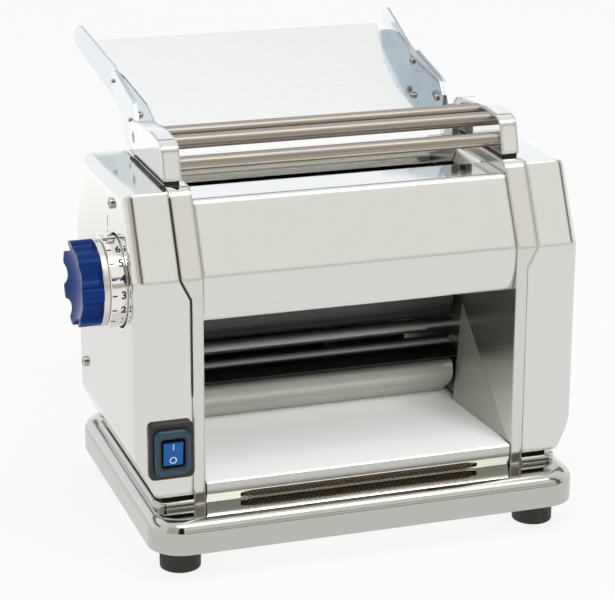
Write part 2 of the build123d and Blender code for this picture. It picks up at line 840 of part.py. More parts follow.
# --- Guard ----------------------------------------------------------------------
def guard_outline():
    """Side view of a guard cheek: leaning front, rounded brow, flat top, heel round the pivot."""
    foot = gasket_top + seat_gap
    heel = guard_pivot_z - foot
    points = [(guard_front, foot), (guard_front + 6.3, guard_top - 5.2), (guard_front + 11.5, guard_top - 1.6),
              (-8.0, guard_top), (guard_pivot_y - 5, guard_top - 2.8), (guard_pivot_y + heel * 0.8, guard_pivot_z + 7),
              (guard_pivot_y, foot)]
    return outline(points, [1.0, 5.0, 12.0, 60.0, 10.0, 2.0, 0.0]) + Pos(guard_pivot_y, guard_pivot_z) * Circle(heel)


def guard_rod_places():
    top = gasket_top + guard_height
    return [(-1.7, top - 5.0), (-21.6, top - 6.5), (-36.2, top - 17.6)]


def guard_cheek():
    cheek = across(guard_outline(), guard_in, guard_out)
    for y, z in guard_rod_places():
        cheek -= rod_x(y, z, guard_rod_radius * 0.55, guard_in - 1, guard_out - 5)
    return cheek - rod_x(guard_pivot_y, guard_pivot_z, guard_pin_radius + running_gap, guard_in - 1, guard_out + 1)


def right_guard_cheek():
    return guard_cheek()


def left_guard_cheek():
    return left_of(guard_cheek())


def guard_rods():
    """Three rods with spigots that seat in the cheeks."""
    rods = []
    for y, z in guard_rod_places():
        rod = rod_x(y, z, guard_rod_radius, -guard_in, guard_in)
        rods.append(rod + rod_x(y, z, guard_rod_radius * 0.55, -guard_out + 5, guard_out - 5))
    return solids_of(*rods)


lug_thick = 5.0


def guard_pivots():
    """Pivot lugs on the frames with their pins; the cheeks turn on them."""
    foot = cover_top + seat_gap
    head = guard_pivot_z + 7
    points = [(guard_pivot_y - 8, foot), (guard_pivot_y + 8, foot), (guard_pivot_y + 8, head), (guard_pivot_y - 8, head)]
    lug = across(outline(points, [0.0, 0.0, 7.0, 7.0]), frame_in - lug_thick, frame_in)
    right = lug + rod_x(guard_pivot_y, guard_pivot_z, guard_pin_radius, frame_in - 1, guard_out - 0.4)
    return solids_of(right, left_of(right))


def guard_gaskets():
    """Black strip between each guard cheek's foot and the frame."""
    strip = block(guard_in + 1, frame_out, guard_front + 1.2, guard_pivot_y + 3, frame_top, gasket_top)
    right = fillet(strip.edges().filter_by(Axis.Z), 2.0)
    hole = rod_z(*plunger_place(), plunger_radius + seat_gap, frame_top - 1, gasket_top + 1)
    return solids_of(right, left_of(right) - hole)


# --- Guard switch ---------------------------------------------------------------
plunger_radius = 1.5
plunger_out = 2.0
switch_body_height = 16.0


def plunger_place():
    """Plan position of the plunger, under the left guard cheek's front foot."""
    return (-(guard_in + guard_plate / 2 - 2.0), guard_front + 14.0)


def guard_switch_box(grow):
    x, y = plunger_place()
    return block(x - 3 - grow, x + 3 + grow, y - 9, y + 9, frame_top - switch_body_height, frame_top)


def guard_switch():
    bore = rod_z(*plunger_place(), plunger_radius + running_gap, frame_top - 10, frame_top + 1)
    return guard_switch_box(0) - bore


def guard_plunger():
    return rod_z(*plunger_place(), plunger_radius, frame_top - 9, gasket_top)


# --- Feed tray ------------------------------------------------------------------
tray_slope = (tray_back_z - tray_front_z) / (tray_back_y - tray_front_y)
tray_heights = (housing_top - 20, tray_back_z + 30)
wing_bend_y = 132.0
wing_end_y = 216.5
wing_flare = 9.4        # the wings spread by this behind the bend
wing_x = guard_in
bracket_thick = 2.0
bracket_screws = [(126.1, housing_top + 34.2), (76.3, housing_top + 16.9)]
wing_lap = 8.0          # wing flange reaches this far under the sheet
wing_foot = 3.0         # wing plate's lower edge, below the tray's upper face
tray_screw_radius = 1.5


def tray_z(y):
    """Height of the tray's upper face along its slope."""
    return tray_front_z + tray_slope * (y - tray_front_y)


def tray_slab(above, thickness):
    """Level-sided sloping slab in the tray's plane."""
    y0 = tray_front_y - 5
    y1 = tray_back_y + 5
    top0 = tray_z(y0) + above
    top1 = tray_z(y1) + above
    side = outline([(y0, top0), (y1, top1), (y1, top1 - thickness), (y0, top0 - thickness)])
    return across(side, -tray_half_back - 20, tray_half_back + 20)


def tray_edge(inward):
    """Plan points of the tray sheet's curved right edge, front to back."""
    waist = tray_half_back - 21.0
    return [(waist + 2.0 - inward, tray_front_y), (waist - inward, 113.0), (waist + 5.5 - inward, 154.0),
            (waist + 11.0 - inward, 174.0), (tray_half_back - inward * 0.3, tray_back_y)]


def tray_sheet():
    right = tray_edge(0)
    left = [(-x, y) for x, y in reversed(right)]
    plan = upward(outline(right + left), *tray_heights)
    return plan & tray_slab(0, thin_sheet)


def above_housings(points):
    """Points (Y, height over the housings) as points (Y, Z)."""
    return [(y, housing_top + height) for y, height in points]


def wing_side():
    """Side view of a wing: blunt front, long top edge, upswept tip, foot along the tray."""
    tip = tray_back_rise + 14.4
    points = [(64.0, 20.2), (72.8, 31.3), (122.0, 42.0), (204.9, tip), (wing_end_y, tip - 5.9)]
    foot = [(y, tray_z(y) - wing_foot) for y in (wing_end_y - 1.0, 64.0)]
    return outline(above_housings(points) + foot, [5.0, 6.0, 60.0, 7.0, 4.0, 3.0, 1.0])


def wing_plate():
    start = wing_x + wing_thick / 2
    plan = folded([(start, 60.0), (start, wing_bend_y), (start + wing_flare, wing_end_y + 3)], [30.0], wing_thick)
    return upward(plan, *tray_heights) & across(wing_side(), wing_x - 5, wing_x + 30)


def flange_screw_plane():
    """Seat of the screw in the right wing's flange, square to its slope."""
    seat = (tray_half_back - 12.0, 100.0, tray_z(100.0) - thin_sheet)
    return Plane(origin=seat, z_dir=(0, -tray_slope, 1))


def tray_wing():
    """Right wing: upright plate with a flange under the tray sheet."""
    inner = tray_edge(wing_lap)
    rim = wing_x + 0.7
    back_y = tray_back_y - 9
    rim_back = rim + wing_flare * (back_y - wing_bend_y) / (wing_end_y - wing_bend_y)
    plan = inner[:-1] + [(rim_back - 6, back_y), (rim_back, back_y), (rim, wing_bend_y), (rim, 66.0), (rim - 8, 60.0)]
    flange = upward(outline(plan), *tray_heights) & tray_slab(-thin_sheet, thin_sheet)
    wing = wing_plate() + flange
    for y, z in bracket_screws:
        wing -= rod_x(y, z, tray_screw_radius, wing_x - 2, wing_x + wing_thick + 3)
    for y, z in above_housings([(84.0, 24.4), (116.0, 28.7), (108.0, 29.7)]):
        wing -= rod_x(y, z, 0.8, wing_x - 2, wing_x + wing_thick + 3)
    return wing - flange_screw_plane() * Cylinder(tray_screw_radius, 8.0)


def right_wing():
    return tray_wing()


def left_wing():
    return left_of(tray_wing())


def tongue(grow):
    """Foot of a tray bracket, let into the frame's top."""
    x0 = wing_x + wing_thick
    return block(x0 - grow, x0 + bracket_thick + grow, 49.0 - grow, 61.0 + grow, housing_top - 14.8 - grow, frame_top + 6)


def tray_bracket():
    """Outer plate that carries a wing on the frame."""
    points = [(49.0, 0.2), (49.0, 7.2), (62.3, 24.2), (67.0, 29.8), (73.0, 32.3), (122.4, 43.0), (130.5, 40.9),
              (129.5, 27.5), (108.0, 17.5), (99.0, 8.0), (90.5, -4.0), (62.5, -3.8), (61.0, 0.2)]
    x0 = wing_x + wing_thick
    plate = across(outline(above_housings(points)), x0, x0 + bracket_thick) + tongue(0)
    for y, z in bracket_screws:
        plate -= rod_x(y, z, tray_screw_radius, x0 - 1, x0 + bracket_thick + 1)
    return plate


def right_bracket():
    return tray_bracket()


def left_bracket():
    return left_of(tray_bracket())


def tray_screws():
    side = [screw((wing_x, y, z), (-1, 0, 0), tray_screw_radius, 5.0) for y, z in bracket_screws]
    flange = screw(flange_screw_plane().origin, flange_screw_plane().z_dir, tray_screw_radius, 4.0)
    right = side + [flange]
    return solids_of(*right, *[left_of(one) for one in right])


# --- Power switch ---------------------------------------------------------------
bezel_front = -half_depth - bezel_thick
rocker_axis_y = bezel_front + 3.0


def switch_window(grow):
    return RectangleRounded(rocker_width + 2 * grow, rocker_height + 2 * grow, 1.0 + grow)


def switch_bezel():
    place = Pos(switch_x, switch_z)
    rim = along(place * RectangleRounded(switch_width, switch_height, 4.0), bezel_front, -half_depth)
    rim = fillet(rim.faces().sort_by(Axis.Y)[0].edges(), 1.2)
    hole = RectangleRounded(boot_width + seat_gap, boot_height + seat_gap, 5.0)
    return rim - along(place * hole, bezel_front - 1, 1 - half_depth)


def switch_boot():
    """Soft clear cover over the rocker, a raised frame with a window."""
    place = Pos(switch_x, switch_z)
    body = along(place * RectangleRounded(boot_width, boot_height, 5.0), bezel_front - boot_rise, -half_depth)
    body = fillet(body.faces().sort_by(Axis.Y)[0].edges(), 2.0)
    return body - along(place * switch_window(1.6), bezel_front - boot_rise - 1, 1 - half_depth)


def switch_body():
    """Switch case behind the housing wall, with the rocker's bearing cheeks."""
    place = Pos(switch_x, switch_z)
    neck = along(place * RectangleRounded(switch_width - 7.4, switch_height - 9.4, 2.0), -half_depth, -half_depth + sheet)
    case = along(place * Rectangle(switch_width - 8, switch_height - 10), -half_depth + sheet, -half_depth + 20)
    whole = neck + case - along(place * switch_window(0.6), -half_depth - 1, -half_depth + 9)
    for side in (-1, 1):
        x = switch_x + side * (rocker_width / 2 + 0.6)
        whole -= rod_x(-half_depth + 4, switch_z, 1.2 + running_gap, x - 1.5, x + 1.5)
    return whole


def switch_rocker():
    """Rocker with a hollow V face; it turns on two small trunnions."""
    front = bezel_front - boot_rise - 0.8
    half = rocker_height / 2
    y_axis = -half_depth + 4
    side = outline([(front + 2.2, switch_z - half), (front + 1.2, switch_z), (front, switch_z + half - 1.0),
                    (y_axis, switch_z + half * 0.75), (y_axis + 3, switch_z), (y_axis, switch_z - half * 0.75)])
    body = across(side, switch_x - rocker_width / 2, switch_x + rocker_width / 2)
    return body + rod_x(y_axis, switch_z, 1.2, switch_x - rocker_width / 2 - 1.8, switch_x + rocker_width / 2 + 1.8)


capacitor_height = 58.0


def capacitor():
    """Motor capacitor, lying in the left housing on the frame."""
    foot = housing_bottom + sheet + 2
    can = rod_z(-strip_out - 14, 10, 11.0, foot, foot + capacitor_height)
    strap = block(-strip_out - 4, -strip_out, 4, 16, housing_bottom + 20, housing_bottom + 34)
    return fillet(can.faces().sort_by(Axis.Z)[-1].edges(), 2.0) + strap


# --- Export ---------------------------------------------------------------------
nodes = {
    "base_pan": base_pan(),
    "bottom_cover": bottom_cover(),
    "rubber_feet": rubber_feet(),
    "foot_screws": foot_screws(),
    "frame_bolts": frame_bolts(),
    "housing_foot_plates": foot_plates(),
    "housing_plinths": plinths(),
    "left_frame": left_frame() - left_of(tongue(running_gap)),
    "right_frame": right_frame() - tongue(running_gap),
    "left_housing": left_housing(),
    "right_housing": right_housing(),
    "housing_screws": housing_screws(),
    "housing_posts": housing_posts(),
    "front_drum_cover": front_cover(),
    "rear_drum_cover": rear_cover(),
    "cover_brackets": cover_brackets(),
    "rear_panel": rear_panel(),
    "power_inlet": power_inlet(),
    "chute_floor": chute_floor(),
    "vent_grille": vent_grille(),
    "chute_cheeks": chute_cheeks(),
    "exit_deflector": exit_deflector(),
    "exit_shelf": exit_shelf(),
    "tie_rods": tie_rods(),
    "rear_roller": rear_roller(),
    "front_roller": front_roller(),
    "rear_roller_gear": rear_roller_gear(),
    "front_roller_gear": front_roller_gear(),
    "drive_gear": drive_gear(),
    "motor_pinion_shaft": pinion_shaft(),
    "rear_bushes": rear_bushes(),
    "front_bushes": front_bushes(),
    "carriage_blocks": carriage_blocks(),
    "front_scraper": front_scraper(),
    "rear_scraper": rear_scraper(),
    "feed_guides": feed_guides(),
    "motor_body": motor_body(),
    "dial_drum": dial_drum(),
    "knob_collar": knob_collar(),
    "thickness_knob": knob(),
    "adjuster_camshaft": adjuster_shaft(),
    "adjuster_bearing": adjuster_bearing(),
    "left_guard_cheek": left_guard_cheek(),
    "right_guard_cheek": right_guard_cheek(),
    "guard_rods": guard_rods(),
    "guard_pivots": guard_pivots(),
    "guard_gaskets": guard_gaskets(),
    "guard_switch": guard_switch(),
    "guard_plunger": guard_plunger(),
    "tray_sheet": tray_sheet(),
    "left_tray_wing": left_wing(),
    "right_tray_wing": right_wing(),
    "left_tray_bracket": left_bracket(),
    "right_tray_bracket": right_bracket(),
    "tray_screws": tray_screws(),
    "switch_bezel": switch_bezel(),
    "switch_boot": switch_boot(),
    "switch_body": switch_body(),
    "switch_rocker": switch_rocker(),
    "capacitor": capacitor(),
}

# The origin moves to the middle of the overall footprint, still on the resting plane.
boxes = [shape.bounding_box() for shape in nodes.values()]
middle_x = (min(box.min.X for box in boxes) + max(box.max.X for box in boxes)) / 2
middle_y = (min(box.min.Y for box in boxes) + max(box.max.Y for box in boxes)) / 2
to_origin = Pos(-middle_x, -middle_y, 0)

os.makedirs("parts", exist_ok=True)
for name, shape in nodes.items():
    export_step(to_origin * shape, "parts/" + name + ".step")
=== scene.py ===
# %% [markdown]
# An electric pasta maker, dressed on its CAD frame. The frame brings every solid in place,
# in metres, grouped in the bodies that its joints move. We never move those solids: we give
# them materials, and add the small printed and pressed details that solids leave out.

import math

import bmesh
import bpy
from mathutils import Matrix, Vector


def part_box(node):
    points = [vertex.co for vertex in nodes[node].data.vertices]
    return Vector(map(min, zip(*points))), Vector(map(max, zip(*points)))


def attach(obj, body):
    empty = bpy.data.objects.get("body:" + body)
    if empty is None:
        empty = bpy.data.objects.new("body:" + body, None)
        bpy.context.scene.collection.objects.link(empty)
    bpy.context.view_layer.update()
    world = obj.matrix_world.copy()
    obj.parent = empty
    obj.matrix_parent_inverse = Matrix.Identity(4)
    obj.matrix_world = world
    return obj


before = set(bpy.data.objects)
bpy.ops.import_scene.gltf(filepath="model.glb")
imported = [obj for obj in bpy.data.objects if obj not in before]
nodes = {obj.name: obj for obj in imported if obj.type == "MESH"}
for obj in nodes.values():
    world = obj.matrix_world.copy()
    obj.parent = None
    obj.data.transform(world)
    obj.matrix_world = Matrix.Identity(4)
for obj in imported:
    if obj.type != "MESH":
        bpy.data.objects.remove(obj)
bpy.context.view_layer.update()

# %% [markdown]
# The drawing of the machine has its own zero under the middle of the body. The frame's zero
# is under the middle of everything, tray and knob included. One small function turns drawing
# millimetres into frame metres, so sizes below can be read straight off the drawing.

# %% Drawing millimetres to frame metres
ZERO = Vector((13.76, -51.6365, 0.0))
FRAME_IN = 111.0


def at(x, y, z):
    return (Vector((x, y, z)) + ZERO) / 1000


HALF_DEPTH = 84.3
SIDE_OUT = 157.5
KNOB_Y, KNOB_Z = -39.3, 191.0
DIAL_RADIUS = 30.5

# %% [markdown]
# Colours are picked as ordinary sRGB hex codes, as a paint maker would note them. Blender's
# shaders work in linear light, so every code passes through one function on its way in.


# %% Colour and node helpers
def linear(code, alpha=1.0):
    """Linear RGBA from an sRGB hex code such as 'D8D4CE'."""
    channels = [int(code[i:i + 2], 16) / 255 for i in (0, 2, 4)]
    return [c / 12.92 if c <= 0.04045 else ((c + 0.055) / 1.055) ** 2.4
            for c in channels] + [alpha]


def add_node(tree, kind, inputs=None, **settings):
    """One shader node with its settings; an input may be a value or a socket to link from."""
    node = tree.nodes.new(kind)
    for key, value in settings.items():
        setattr(node, key, value)
    for key, value in (inputs or {}).items():
        if isinstance(value, bpy.types.NodeSocket):
            tree.links.new(value, node.inputs[key])
        else:
            node.inputs[key].default_value = value
    return node


def new_material(name, code, roughness, metallic=0.0, **extra):
    """A named material with its Principled shader, ready for texture nodes."""
    material = bpy.data.materials.new(name)
    material.use_nodes = True
    shader = material.node_tree.nodes["Principled BSDF"]
    shader.inputs["Base Color"].default_value = linear(code)
    shader.inputs["Roughness"].default_value = roughness
    shader.inputs["Metallic"].default_value = metallic
    for key, value in extra.items():
        shader.inputs[key.replace("_", " ")].default_value = value
    return material


def feed(material, socket, source):
    """Links a texture socket to one of the material's own shader inputs."""
    material.node_tree.links.new(source, material.node_tree.nodes["Principled BSDF"].inputs[socket])


def grain(material, size_mm, stretch=(1, 1, 1), detail=3.0):
    """Soft noise whose grains are about size_mm across, in object millimetres."""
    tree = material.node_tree
    coords = add_node(tree, "ShaderNodeTexCoord")
    millimetres = add_node(tree, "ShaderNodeMapping", {
        "Vector": coords.outputs["Object"], "Scale": [1000 * s for s in stretch]})
    noise = add_node(tree, "ShaderNodeTexNoise", {
        "Vector": millimetres.outputs["Vector"], "Scale": 1 / size_mm, "Detail": detail})
    return noise.outputs["Fac"]


def vary_roughness(material, source, low, high):
    """Roughness between low and high; noise keeps mostly within 0.3 to 0.7."""
    span = add_node(material.node_tree, "ShaderNodeMapRange", {
        "Value": source, "From Min": 0.3, "From Max": 0.7, "To Min": low, "To Max": high})
    feed(material, "Roughness", span.outputs["Result"])


def add_bump(material, source, height_mm, strength=1.0, edge_mm=0.0):
    """Surface relief; edge_mm also rounds sharp edges, for shading only."""
    tree = material.node_tree
    bump = add_node(tree, "ShaderNodeBump", {
        "Height": source, "Distance": height_mm / 1000, "Strength": strength})
    if edge_mm > 0:
        rounding = add_node(tree, "ShaderNodeBevel", {"Radius": edge_mm / 1000}, samples=6)
        tree.links.new(rounding.outputs["Normal"], bump.inputs["Normal"])
    feed(material, "Normal", bump.outputs["Normal"])


# %% [markdown]
# Most of the machine is chromed steel, polished until it mirrors the room. A perfect mirror
# looks like computer work, so the roughness drifts a little in patches as wide as a thumb,
# and a very shallow bump bends reflections the way pressed sheet does. Pressed and cast
# edges are never sharp: the shading rounds them by one to three millimetres.


# %% Chromed steel
PATCH_MM = 25.0


def chrome(name, code, low, high, edge_mm, wave_mm=60.0, wave_height=0.02):
    """Polished metal: roughness from low to high, edges rounded by edge_mm, shallow waves."""
    material = new_material(name, code, (low + high) / 2, 1.0)
    vary_roughness(material, grain(material, PATCH_MM), low, high)
    add_bump(material, grain(material, wave_mm, detail=1.0), wave_height, edge_mm=edge_mm)
    return material


chromed_sheet = chrome("chromed_steel_sheet", "D8D8D4", 0.06, 0.11, 3.2)
chromed_casting = chrome("chromed_steel_frame", "D3D2CC", 0.06, 0.12, 3.0, 80.0, 0.015)
polished_base = chrome("polished_stainless_base", "BCBCB6", 0.04, 0.08, 1.6, 90.0, 0.02)
polished_wing = chrome("polished_stainless_wing", "C6CDD1", 0.10, 0.16, 0.6, 60.0, 0.01)
chromed_roller = chrome("ground_chromed_steel", "C9C7C3", 0.16, 0.24, 0.8, 30.0, 0.005)

# %% [markdown]
# The tray and the inner sheets are satin stainless steel. Satin comes from a brush that
# leaves thousands of parallel scratches, so its noise is stretched a hundred times along one
# axis. Real scratches are finer than a pixel, so they are drawn as coarse as they need to be
# to show. The same recipe gives drawn rods, turned rings, and, unstretched, blasted sheet.


# %% Brushed steels
def brushed(name, code, low, high, stretch, width_mm=0.25, depth_mm=0.01, edge_mm=0.4,
            metallic=1.0):
    """Metal with scratches width_mm wide, drawn out along each axis whose stretch is small."""
    material = new_material(name, code, (low + high) / 2, metallic)
    scratches = grain(material, width_mm, stretch, 2.0)
    vary_roughness(material, scratches, low, high)
    add_bump(material, scratches, depth_mm, 0.6, edge_mm)
    return material


satin_sheet = brushed("satin_stainless_sheet", "EEEDEA", 0.24, 0.34, (0.01, 1, 1))
chute_sheet = brushed("bead_blasted_chute_sheet", "EEF0EF", 0.42, 0.55, (1, 1, 1), 0.6, 0.02,
                      metallic=0.1)
nose_sheet = brushed("satin_deflector_sheet", "B4B4AC", 0.34, 0.42, (0.01, 1, 1), 0.5,
                     metallic=0.6)
drawn_rod = brushed("drawn_stainless_rod", "A29A90", 0.24, 0.38, (0.006, 1, 1), 0.5, 0.03)
spacer_rod = brushed("dull_zinc_plated_rod", "8E8C8A", 0.34, 0.46, (0.02, 1, 1), 0.5, 0.02)
# The grille's dark tint is partly bronze and partly painted shade of the slot behind it.
grille_and_slot_shade = brushed("bronzed_mesh_and_painted_slot_shade", "4A3E30", 0.35, 0.5, (1, 1, 1), 0.5)
mesh_wire = brushed("bronzed_wire", "A58A66", 0.3, 0.45, (1, 1, 1), 0.3)
machined_steel = brushed("machined_steel", "A8A8A9", 0.28, 0.42, (1, 0.2, 0.2), 0.4)
nickel = brushed("nickel_plated_steel", "B9B5AD", 0.14, 0.24, (1, 1, 1), 0.8)
dial_nickel = brushed("polished_nickel_drum", "EAE7E0", 0.08, 0.14, (0.05, 1, 1), 0.6, 0.004)
turned_ring = brushed("turned_aluminium", "DAD7CE", 0.22, 0.30, (1, 0.02, 0.02), 0.2)
bronze = brushed("sintered_bronze", "B08A5A", 0.35, 0.5, (1, 1, 1), 0.4)

# %% [markdown]
# The side frames are polished outside, but their inner walls, where the dough passes, were
# only ground. One casting has both finishes, so the shader asks how far a point lies from
# the middle of the machine and changes the roughness at the inner wall.


# %% Ground inner walls of the side frames
def ground_inner_walls(material, rough):
    """Rougher where a point lies no further out than the frame's inner face."""
    tree = material.node_tree
    coords = add_node(tree, "ShaderNodeTexCoord")
    parts = add_node(tree, "ShaderNodeSeparateXYZ", {"Vector": coords.outputs["Object"]})
    from_middle = add_node(tree, "ShaderNodeMath", {0: parts.outputs["X"], 1: ZERO.x / 1000},
                           operation="SUBTRACT")
    distance = add_node(tree, "ShaderNodeMath", {0: from_middle.outputs[0]},
                        operation="ABSOLUTE")
    inner = add_node(tree, "ShaderNodeMath", {
        0: distance.outputs[0], 1: (FRAME_IN + 0.05) / 1000}, operation="LESS_THAN")
    polished = tree.nodes["Principled BSDF"].inputs["Roughness"].links[0].from_socket
    blend = add_node(tree, "ShaderNodeMix", {
        "Factor": inner.outputs[0], "A": polished, "B": rough}, data_type="FLOAT")
    feed(material, "Roughness", blend.outputs["Result"])


ground_inner_walls(chromed_casting, rough=0.34)

# %% [markdown]
# The chute sheet is blasted dull only on the floor, where the dough lands. Below the fold its
# front is left bright, so metal, tint and gloss change at the height of the fold.


# %% Bright front under the blasted floor
FLOOR_TOP = 57.9


def bright_below(material, height_mm, code, rough):
    """Bare bright metal wherever a point lies below height_mm."""
    tree = material.node_tree
    shader = tree.nodes["Principled BSDF"]
    blasted_gloss = shader.inputs["Roughness"].links[0].from_socket
    blasted_metal = shader.inputs["Metallic"].default_value
    blasted_tint = tuple(shader.inputs["Base Color"].default_value)
    coords = add_node(tree, "ShaderNodeTexCoord")
    parts = add_node(tree, "ShaderNodeSeparateXYZ", {"Vector": coords.outputs["Object"]})
    below = add_node(tree, "ShaderNodeMath", {0: parts.outputs["Z"], 1: height_mm / 1000},
                     operation="LESS_THAN").outputs[0]
    gloss = add_node(tree, "ShaderNodeMix", {"Factor": below, "A": blasted_gloss, "B": rough},
                     data_type="FLOAT")
    metal = add_node(tree, "ShaderNodeMix", {"Factor": below, "A": blasted_metal, "B": 1.0},
                     data_type="FLOAT")
    tint = add_node(tree, "ShaderNodeMix", {0: below, 6: blasted_tint, 7: linear(code)},
                    data_type="RGBA")
    feed(material, "Roughness", gloss.outputs["Result"])
    feed(material, "Metallic", metal.outputs["Result"])
    feed(material, "Base Color", tint.outputs[2])


bright_below(chute_sheet, FLOOR_TOP - 1.0, "C6C6C0", rough=0.16)

# %% [markdown]
# Dark and plastic parts. Moulded plastic has a skin with very fine pits, and its gloss comes
# from the mould's polish. Rubber is duller, with coarser pits. Enamel and ink lie in thin
# smooth coats, and the same recipe suits them. A near-black matt coat is painted shade.


# %% Plastics, rubber, enamel, ink and painted shade
CLOUD_MM = 12.0


def moulded(name, code, low, high, pit_mm=0.5, depth_mm=0.01, edge_mm=0.5, **extra):
    """Plastic, rubber or paint with fine pits and a gloss that drifts in small clouds."""
    material = new_material(name, code, (low + high) / 2, 0.0, **extra)
    pits = grain(material, pit_mm)
    vary_roughness(material, grain(material, CLOUD_MM), low, high)
    add_bump(material, pits, depth_mm, 0.5, edge_mm)
    return material


blue_abs = moulded("glossy_blue_abs", "00347C", 0.12, 0.2, 0.5, 0.004, 1.4,
                   Specular_IOR_Level=0.12)
bezel_abs = moulded("dark_brown_abs", "2A2421", 0.35, 0.5)
boot_silicone = moulded("teal_silicone_rubber", "1E4258", 0.25, 0.38)
seal_silicone = moulded("maroon_silicone_rubber", "2E1A1E", 0.3, 0.42)
rocker_abs = moulded("blue_polycarbonate", "0060AE", 0.18, 0.28, Specular_IOR_Level=0.3)
black_nylon = moulded("black_nylon", "141414", 0.35, 0.5)
pale_pbt = moulded("pale_pbt", "D8D6CC", 0.35, 0.5)
foot_rubber = moulded("black_nitrile_rubber", "262019", 0.5, 0.7, 0.8, 0.03)
gasket_rubber = moulded("black_epdm_rubber", "1A1918", 0.45, 0.6, 0.8, 0.02)
motor_enamel = moulded("dark_grey_enamel", "2C2A2A", 0.3, 0.42)
# Painted shade: this near-black coat darkens the housing plinths, the exit shelf and the vent's
# slot, where shade falls in recesses.
recess_shade_black = moulded("painted_recess_shade", "0B0B0B", 0.5, 0.65)
white_ink = moulded("white_pad_print_ink", "EEF2F4", 0.35, 0.45)
blue_ink = moulded("dark_blue_pad_print_ink", "1D1B5A", 0.35, 0.45)
index_ink = moulded("grey_engraved_ink", "4A4A4C", 0.4, 0.5)

# %% [markdown]
# Each solid now gets its finish. A plain table keeps the decision in one place, and a loop
# does the work, so that changing a finish later means changing one word.

# %% Finish of every solid
FINISHES = {
    chromed_sheet: "left_housing right_housing front_drum_cover rear_drum_cover "
                   "left_guard_cheek right_guard_cheek",
    chromed_casting: "left_frame right_frame",
    chute_sheet: "chute_floor",
    nose_sheet: "exit_deflector chute_cheeks",
    polished_base: "base_pan housing_foot_plates",
    chromed_roller: "rear_roller front_roller",
    satin_sheet: "tray_sheet rear_panel bottom_cover feed_guides",
    polished_wing: "left_tray_wing right_tray_wing left_tray_bracket right_tray_bracket",
    # Partly painted shade: the grille is tinted dark for the slot behind it.
    grille_and_slot_shade: "vent_grille",
    spacer_rod: "tie_rods",
    drawn_rod: "guard_rods",
    machined_steel: "rear_roller_gear front_roller_gear drive_gear motor_pinion_shaft "
                    "carriage_blocks front_scraper rear_scraper adjuster_camshaft "
                    "adjuster_bearing guard_pivots cover_brackets housing_posts",
    nickel: "foot_screws frame_bolts housing_screws tray_screws",
    turned_ring: "knob_collar",
    bronze: "rear_bushes front_bushes",
    blue_abs: "thickness_knob",
    dial_nickel: "dial_drum",
    bezel_abs: "switch_bezel",
    boot_silicone: "switch_boot",
    rocker_abs: "switch_rocker",
    black_nylon: "switch_body power_inlet guard_switch",
    pale_pbt: "capacitor guard_plunger",
    foot_rubber: "rubber_feet",
    gasket_rubber: "guard_gaskets",
    motor_enamel: "motor_body",
    # Painted shade: the plinths and the exit shelf are coated near-black for the shade in their
    # recesses.
    recess_shade_black: "housing_plinths exit_shelf",
}


def finish_solid(name, material):
    """Gives one solid its only material."""
    solid = nodes[name]
    solid.data.materials.clear()
    solid.data.materials.append(material)
    return name


done = [finish_solid(name, material)
        for material, names in FINISHES.items() for name in names.split()]
print("finished", len(done), "left out", sorted(set(nodes) - set(done)))

# %% [markdown]
# The dial is printed: a number from 1 to 10 and a short tick beside each, running round the
# drum. Flat text would float off a drum this small, so each letter is made flat, turned into
# a mesh and wrapped point by point round the drum's own radius.


# %% Wrapped printing on the dial
INK_THICK = 0.03
STROKE_GROW = 0.22


def text_mesh(word, size_mm):
    """Flat letters as a mesh, centred, in millimetres."""
    curve = bpy.data.curves.new("letters", "FONT")
    curve.body = word
    curve.size = size_mm
    curve.align_x = "CENTER"
    curve.align_y = "CENTER"
    curve.extrude = INK_THICK
    curve.offset = STROKE_GROW
    holder = bpy.data.objects.new("letters", curve)
    bpy.context.scene.collection.objects.link(holder)
    bpy.context.view_layer.update()
    letters = holder.evaluated_get(bpy.context.evaluated_depsgraph_get())
    mesh = bpy.data.meshes.new_from_object(letters)
    bpy.data.objects.remove(holder)
    return mesh


def bar_mesh(width, height):
    """A thin printed bar, in millimetres."""
    mesh = bpy.data.meshes.new("bar")
    shape = bmesh.new()
    bmesh.ops.create_cube(shape, size=1.0)
    for vertex in shape.verts:
        vertex.co = Vector((vertex.co.x * width, vertex.co.y * height,
                            vertex.co.z * 2 * INK_THICK))
    bmesh.ops.subdivide_edges(shape, edges=shape.edges[:], cuts=3, use_grid_fill=True)
    shape.to_mesh(mesh)
    shape.free()
    return mesh


def add_piece(name, mesh, material, body):
    """A new piece from a mesh in frame metres, riding on a body."""
    piece = bpy.data.objects.new(name, mesh)
    bpy.context.scene.collection.objects.link(piece)
    mesh.materials.clear()
    mesh.materials.append(material)
    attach(piece, body)
    return piece


def wrap_on_drum(mesh, x, degrees):
    """Letters read along +X; their up direction follows the drum's turn."""
    for vertex in mesh.vertices:
        radius = DIAL_RADIUS + 0.05 + vertex.co.z
        angle = math.radians(degrees) + vertex.co.y / DIAL_RADIUS
        vertex.co = at(x + vertex.co.x, KNOB_Y - radius * math.cos(angle),
                       KNOB_Z + radius * math.sin(angle))
    return mesh


DIAL_START, DIAL_STEP, LAST_NUMBER = -42.4, 20.3, 10
NUMBER_X, NUMBER_HEIGHT = -160.2, 7.4
TICK_X, TICK_LENGTH, TICK_WIDTH = -166.2, 3.2, 1.05
for number in range(1, LAST_NUMBER + 1):
    turn = DIAL_START + DIAL_STEP * (number - 1)
    digits = wrap_on_drum(text_mesh(str(number), NUMBER_HEIGHT), NUMBER_X, turn)
    add_piece(f"dial_number_{number}", digits, blue_ink, "adjuster")
    tick = wrap_on_drum(bar_mesh(TICK_LENGTH, TICK_WIDTH), TICK_X, turn)
    add_piece(f"dial_tick_{number}", tick, blue_ink, "adjuster")
print("dial numbers and ticks", 2 * LAST_NUMBER)

# %% [markdown]
# On the housing, above the dial, a short line and a dot are the mark that the numbers meet.
# They are thin raised prints: each is made flat and then laid on the housing's side.


